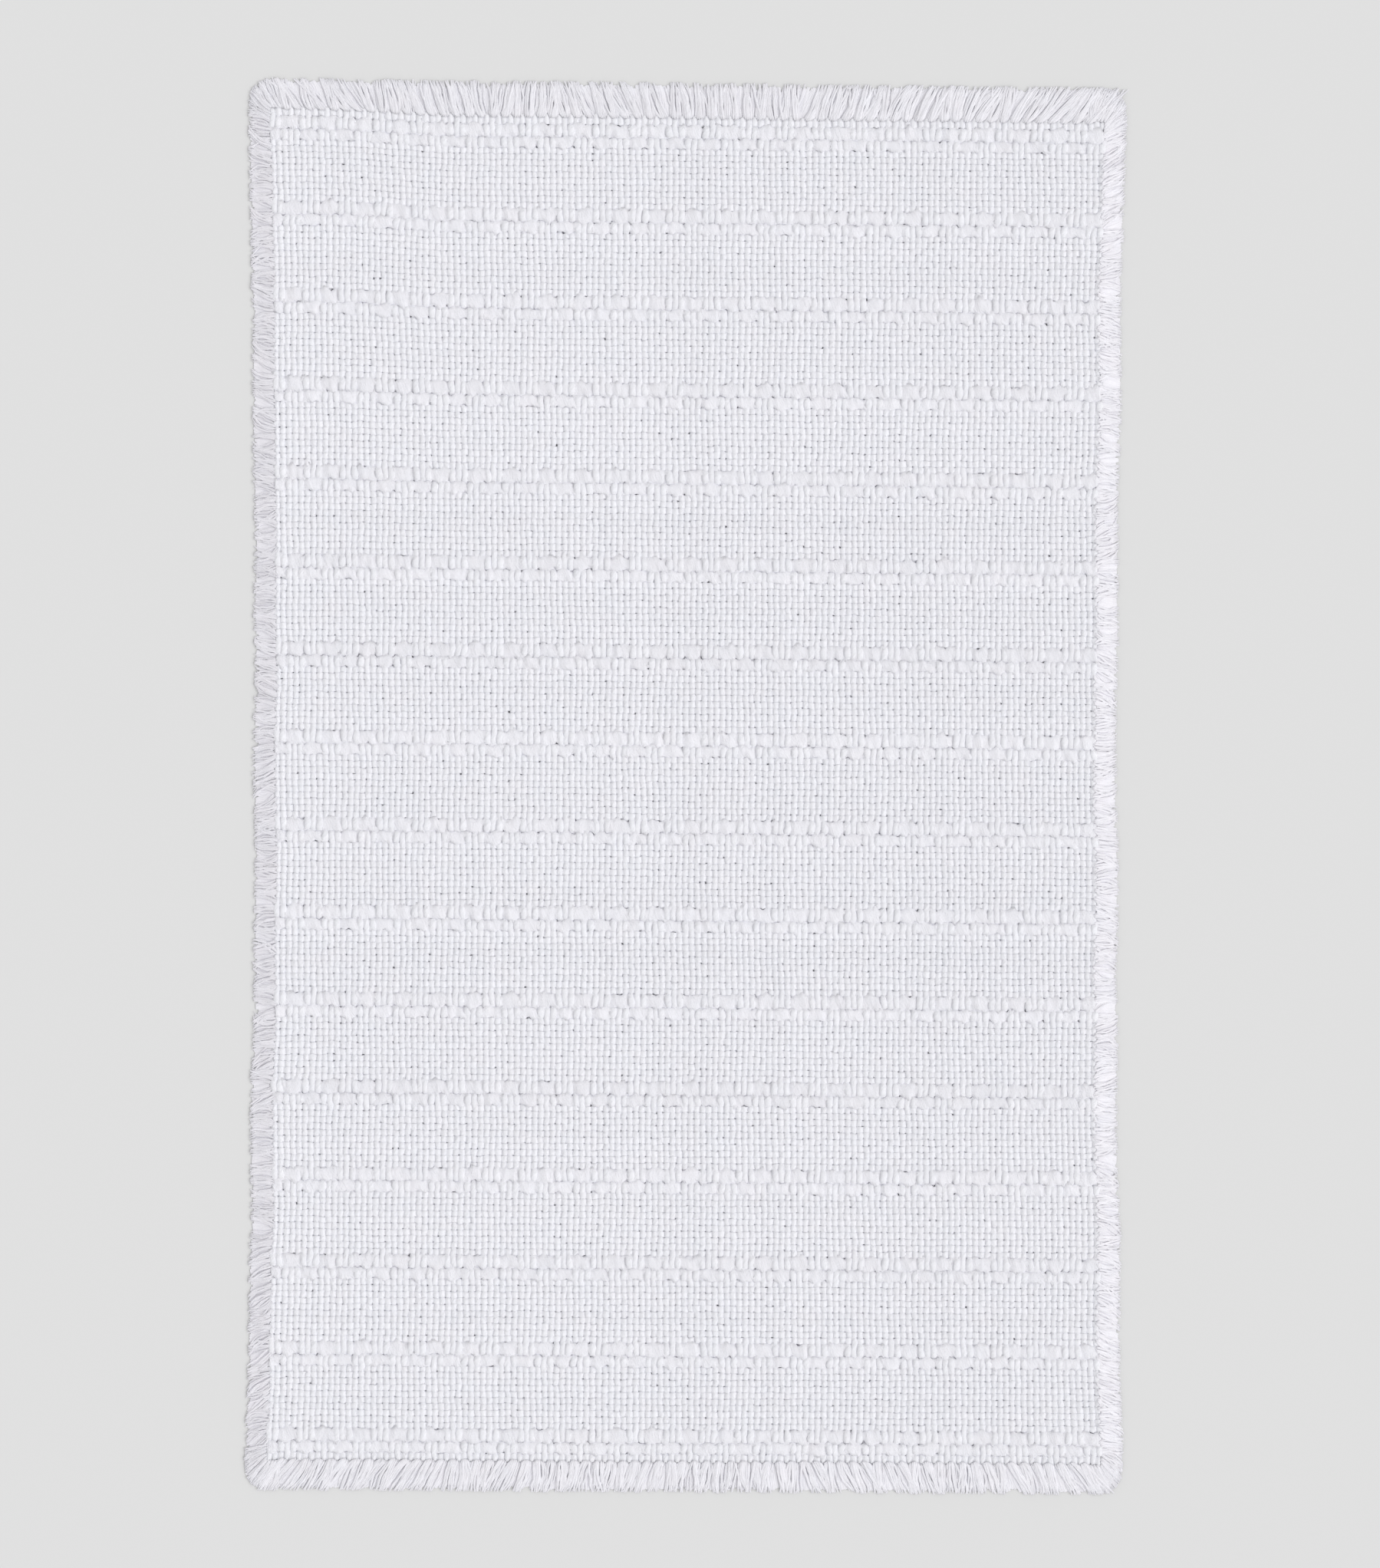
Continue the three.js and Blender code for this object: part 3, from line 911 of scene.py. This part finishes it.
def made_by(tree, name, **inputs):
    """Runs a tree's modifier on an empty mesh and keeps the plain mesh that it makes."""
    piece = bpy.data.objects.new(name, bpy.data.meshes.new(name))
    bpy.context.scene.collection.objects.link(piece)
    modifier = piece.modifiers.new(name, "NODES")
    modifier.node_group = tree
    sockets = {item.name: item.identifier for item in tree.interface.items_tree
               if item.in_out == "INPUT"}
    for label, value in inputs.items():
        modifier[sockets[label.replace("_", " ")]] = value
    graph = bpy.context.evaluated_depsgraph_get()
    mesh = bpy.data.meshes.new_from_object(piece.evaluated_get(graph), depsgraph=graph)
    if not mesh.polygons:
        raise RuntimeError(f"{name} came out empty")
    mesh.name = name
    mesh.materials.pop(index=0)         # the empty slot that the tube comes with
    piece.modifiers.clear()
    empty, piece.data = piece.data, mesh
    bpy.data.meshes.remove(empty)
    return piece


def settle(piece, slot, *nodes):
    """Puts a piece on the mat's body, in place of its plain nodes."""
    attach(piece, BODY)
    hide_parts(*nodes)


def shared(name, build):
    """A node group that is built once and then found by its name."""
    return bpy.data.node_groups.get(name) or build()


def weave_groups(weave):
    """The groups that every yarn uses: the rule, the cloth's place and the tubes."""
    rule = shared("Weave rule", lambda: weave_rule(weave))
    place = shared("Cloth place", lambda: cloth_place(weave))
    tube = shared("Tubes", tubes)
    return rule, place, tube


def fringe_groups(weave):
    """The groups that every strand uses: the cloth's place, the tubes and the strands."""
    place, tube = weave_groups(weave)[1:]
    return place, tube, shared("Strands", lambda: strand_tree(place, tube))


def cotton(name, tint, **look):
    """A cotton material, built once."""
    spun = shared("Spun cotton", spun_cotton)
    return bpy.data.materials.get(name) or cotton_material(name, tint, spun, **look)


class BATHMAT_OT_warp(Operator):
    """Weave the warp ends that run the length of the mat"""
    bl_idname = "bathmat.warp"
    bl_label = "Weave Warp Ends"

    def execute(self, context):
        weave = context.scene.bathmat_weave
        tree, rings = warp_tree(weave, *weave_groups(weave))
        yarn = cotton("warp_cotton", context.scene.bathmat_cotton.warp,
                      plies=3, pitch=0.013, relief=0.35, streak=0.003, depth=0.00024)
        pitch = CLOTH_WIDTH / ENDS
        for number, node in enumerate(WARP_NODES, start=1):
            low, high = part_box(node)
            first = round((low[0] - CLOTH_LEFT) / pitch)
            last = round((high[0] - CLOTH_LEFT) / pitch)
            piece = made_by(tree, f"warp_yarns_{number:02d}", First_End=first,
                            Ends=last - first, Rings=rings, Material=yarn)
            settle(piece, "warp_yarn", node)
        return {"FINISHED"}


class BATHMAT_OT_ground(Operator):
    """Weave the plain picks of the ground and the heading pick at each end"""
    bl_idname = "bathmat.ground"
    bl_label = "Weave Ground Picks"

    def execute(self, context):
        weave = context.scene.bathmat_weave
        tree, rings = weft_tree(weave, *weave_groups(weave), floats=False)
        yarn = cotton("ground_cotton", context.scene.bathmat_cotton.ground,
                      plies=3, pitch=0.013, relief=0.35, streak=0.003, depth=0.00024)
        for number, node in enumerate(GROUND_NODES):
            piece = made_by(tree, f"ground_picks_{number + 1:02d}",
                            First_Pick=number * REPEAT_PICKS + FLOAT_PICKS + 1,
                            Picks=GROUND_PICKS, Rings=rings, Material=yarn)
            settle(piece, "ground_yarn", node)
        for end, pick in (("top", 0), ("bottom", LAST_PICK)):
            piece = made_by(tree, f"heading_yarn_{end}", First_Pick=pick, Picks=1,
                            Rings=rings, Material=yarn)
            settle(piece, "ground_yarn", f"heading_pick_{end}")
        return {"FINISHED"}


class BATHMAT_OT_floats(Operator):
    """Weave the bands of two thick picks that give the raised basket rows"""
    bl_idname = "bathmat.floats"
    bl_label = "Weave Float Bands"

    def execute(self, context):
        weave = context.scene.bathmat_weave
        tree, rings = weft_tree(weave, *weave_groups(weave), floats=True)
        yarn = cotton("float_cotton", context.scene.bathmat_cotton.thick,
                      plies=4, pitch=0.014, relief=0.2, streak=0.003, depth=0.00030)
        for number, node in enumerate(FLOAT_NODES):
            piece = made_by(tree, f"float_picks_{number + 1:02d}",
                            First_Pick=number * REPEAT_PICKS + 1, Picks=FLOAT_PICKS,
                            Rings=rings, Material=yarn)
            settle(piece, "float_yarn", node)
        return {"FINISHED"}


def fringe_cotton(name, tint):
    """The material of loose strands, streaked along their length."""
    return cotton(name, tint, plies=7, pitch=0.05, relief=0.8, streak=0.006, depth=0.00010)


class BATHMAT_OT_fringe(Operator):
    """Lay the strands of the fringe on the four sides"""
    bl_idname = "bathmat.fringe"
    bl_label = "Lay Fringe"

    # Each side: its lean along the edge, from left to right or from top to bottom
    leans = {
        "top": (-0.4, -0.45, -0.15, 0.1, -0.5, -0.2, 0.1, 0.45, 0.4, 0.55, 0.75),
        "bottom": (-0.8, -0.6, -0.4, -0.2, -0.1, -0.2, 0.1, 0.3, 0.2, 0.4, 0.6),
        "left": (-0.6, -0.1, -0.35, 0.15, -0.2, 0.2, -0.15, 0.3, 0.0, 0.4, 0.7),
        "right": (-0.7, -0.4, 0.15, -0.2, 0.25, -0.1, 0.2, -0.2, 0.25, 0.3, 0.5),
    }

    def execute(self, context):
        fringe = context.scene.bathmat_fringe
        place, tube, strand = fringe_groups(context.scene.bathmat_weave)
        cottons = context.scene.bathmat_cotton
        strands = fringe_cotton("fringe_cotton", cottons.strands)
        # The side fringe gets the lighter copy of the cotton: painted light against the cloth's
        # shade on that fringe
        lit_side_strands = fringe_cotton("side_fringe_cotton", cottons.lit_side_strands)
        across, down = (CLOTH_WIDTH, 0.0, 0.0), (0.0, CLOTH_LENGTH, 0.0)
        corner_gap = 0.007          # left to the corner fans at each end of a side
        sides = {
            "top": ((0, 0, 0), across, (0, -fringe.top_reach, 0)),
            "bottom": ((0, CLOTH_LENGTH, 0), across, (0, fringe.bottom_reach, 0)),
            "left": ((0, 0, 0), down, (-fringe.side_reach, 0, 0)),
            "right": ((CLOTH_WIDTH, 0, 0), down, (fringe.side_reach, 0, 0)),
        }
        kinds = {
            False: {"Lock": fringe.end_lock, "Thickness": fringe.end_strand, "Curl": 0.0012,
                    "Sway": 0.28, "Rise": 0.0038, "Crown": 0.0013},
            True: {"Lock": fringe.side_lock, "Thickness": fringe.side_strand, "Curl": 0.0018,
                   "Sway": 0.45, "Rise": 0.0040, "Crown": 0.0008},
        }
        for seed, (side, (start, edge, out)) in enumerate(sides.items()):
            long_side = side in ("left", "right")
            spacing = fringe.side_spacing if long_side else fringe.end_spacing
            tree = fringe_tree(f"Fringe {side}", self.leans[side], place, tube, strand)
            start, edge = Vector(start), Vector(edge)
            start += edge.normalized() * corner_gap
            run = edge.length - 2 * corner_gap
            piece = made_by(tree, f"fringe_strands_{side}", Strands=round(run / spacing),
                            Start=start, Edge=edge.normalized() * run, Out=Vector(out),
                            Seed=100 * seed, Material=lit_side_strands if long_side else strands,
                            **kinds[long_side])
            settle(piece, "fringe_strands", f"fringe_{side}")
        return {"FINISHED"}


class BATHMAT_OT_fans(Operator):
    """Spread the strands at the four corners"""
    bl_idname = "bathmat.fans"
    bl_label = "Spread Corner Fans"

    def execute(self, context):
        fringe = context.scene.bathmat_fringe
        place, tube, strand = fringe_groups(context.scene.bathmat_weave)
        tree = fan_tree(place, tube, strand)
        strands = bpy.data.materials["fringe_cotton"]
        for seed, (end, side) in enumerate(
                (e, s) for e in ("top", "bottom") for s in ("left", "right")):
            corner = (CLOTH_WIDTH * (side == "right"), CLOTH_LENGTH * (end == "bottom"), 0.0)
            reach = -fringe.top_reach if end == "top" else fringe.bottom_reach
            piece = made_by(
                tree, f"corner_fan_{end}_{side}", Corner=Vector(corner), Strands=150,
                Out_Across=fringe.side_reach * (1 if side == "right" else -1), Out_Along=reach,
                Thickness=fringe.side_strand, Seed=1000 + 100 * seed, Material=strands)
            settle(piece, "fringe_strands", f"corner_fringe_{end}_{side}")
        return {"FINISHED"}


class BATHMAT_OT_stage(Operator):
    """Set out the floor, the soft lights and the camera"""
    bl_idname = "bathmat.stage"
    bl_label = "Set Out Stage"

    def execute(self, context):
        scene, stage = context.scene, context.scene.bathmat_stage
        floor = bpy.data.meshes.new("floor")
        half = 25.0
        floor_corners = [(-half, -half, 0), (half, -half, 0), (half, half, 0), (-half, half, 0)]
        floor.from_pydata(floor_corners, [], [(0, 1, 2, 3)])
        floor_piece = bpy.data.objects.new("floor", floor)
        scene.collection.objects.link(floor_piece)
        floor.materials.append(floor_material(scene.bathmat_cotton.floor))

        key = bpy.data.lights.new("key", "SUN")
        key.energy = stage.key
        key.angle = stage.key_spread
        key_piece = bpy.data.objects.new("key", key)
        key_piece.rotation_euler = (math.radians(8), stage.key_tilt, 0.0)
        scene.collection.objects.link(key_piece)

        world = bpy.data.worlds.new("soft surround")
        world.use_nodes = True
        background = world.node_tree.nodes["Background"]
        background.inputs["Color"].default_value = (1.0, 1.0, 1.0, 1.0)
        background.inputs["Strength"].default_value = stage.fill
        scene.world = world

        camera = bpy.data.cameras.new("camera")
        camera.sensor_width = 36.0
        camera.lens = stage.lens
        camera_piece = bpy.data.objects.new("camera", camera)
        height = stage.view_height * stage.lens / camera.sensor_width
        camera_piece.location = (stage.view_shift, 0.0, height)
        camera.clip_end = 50.0
        scene.collection.objects.link(camera_piece)
        scene.camera = camera_piece
        scene.view_settings.view_transform = "Standard"
        return {"FINISHED"}


def floor_material(tint):
    """A pale, even floor with a faint mottling."""
    material = bpy.data.materials.new("pale_floor")
    material.use_nodes = True
    nodes, links = material.node_tree.nodes, material.node_tree.links
    shader = nodes["Principled BSDF"]
    shader.inputs["Roughness"].default_value = 0.95
    shader.inputs["Specular IOR Level"].default_value = 0.1
    noise = nodes.new("ShaderNodeTexNoise")
    noise.inputs["Scale"].default_value = 0.25
    place = nodes.new("ShaderNodeTexCoord")
    links.new(place.outputs["Object"], noise.inputs["Vector"])
    blend = nodes.new("ShaderNodeMix")
    blend.data_type = "RGBA"
    blend.inputs[6].default_value = (*[0.995 * c for c in tint], 1.0)
    blend.inputs[7].default_value = (*[1.005 * c for c in tint], 1.0)
    links.new(noise.outputs["Fac"], blend.inputs[0])
    links.new(blend.outputs[2], shader.inputs["Base Color"])
    return material


class BATHMAT_PT_sidebar(Panel):
    """Lists the steps of making the mat and the sizes they use"""
    bl_label = "Bath Mat"
    bl_idname = "BATHMAT_PT_sidebar"
    bl_space_type = "VIEW_3D"
    bl_region_type = "UI"
    bl_category = "Bath Mat"

    def draw(self, context):
        for step in STEPS:
            self.layout.operator(step.bl_idname)
        for holder in SETTINGS:
            box = self.layout.box()
            settings = getattr(context.scene, holder)
            for name in settings.bl_rna.properties.keys():
                if name not in ("rna_type", "name"):
                    box.prop(settings, name)


STEPS = (BATHMAT_OT_stage, BATHMAT_OT_warp, BATHMAT_OT_ground, BATHMAT_OT_floats,
         BATHMAT_OT_fringe, BATHMAT_OT_fans)
SETTINGS = {"bathmat_weave": WeaveSettings, "bathmat_fringe": FringeSettings,
            "bathmat_cotton": CottonSettings, "bathmat_stage": StageSettings}
CLASSES = (*SETTINGS.values(), *STEPS, BATHMAT_PT_sidebar)


def register():
    for cls in CLASSES:
        bpy.utils.register_class(cls)
    for name, settings in SETTINGS.items():
        setattr(bpy.types.Scene, name, PointerProperty(type=settings))


def unregister():
    for name in SETTINGS:
        delattr(bpy.types.Scene, name)
    for cls in reversed(CLASSES):
        bpy.utils.unregister_class(cls)


def main():
    """Makes the whole mat, step by step."""
    register()
    bpy.ops.bathmat.stage()
    bpy.ops.bathmat.warp()
    bpy.ops.bathmat.ground()
    bpy.ops.bathmat.floats()
    bpy.ops.bathmat.fringe()
    bpy.ops.bathmat.fans()


if __name__ == "__main__":
    main()
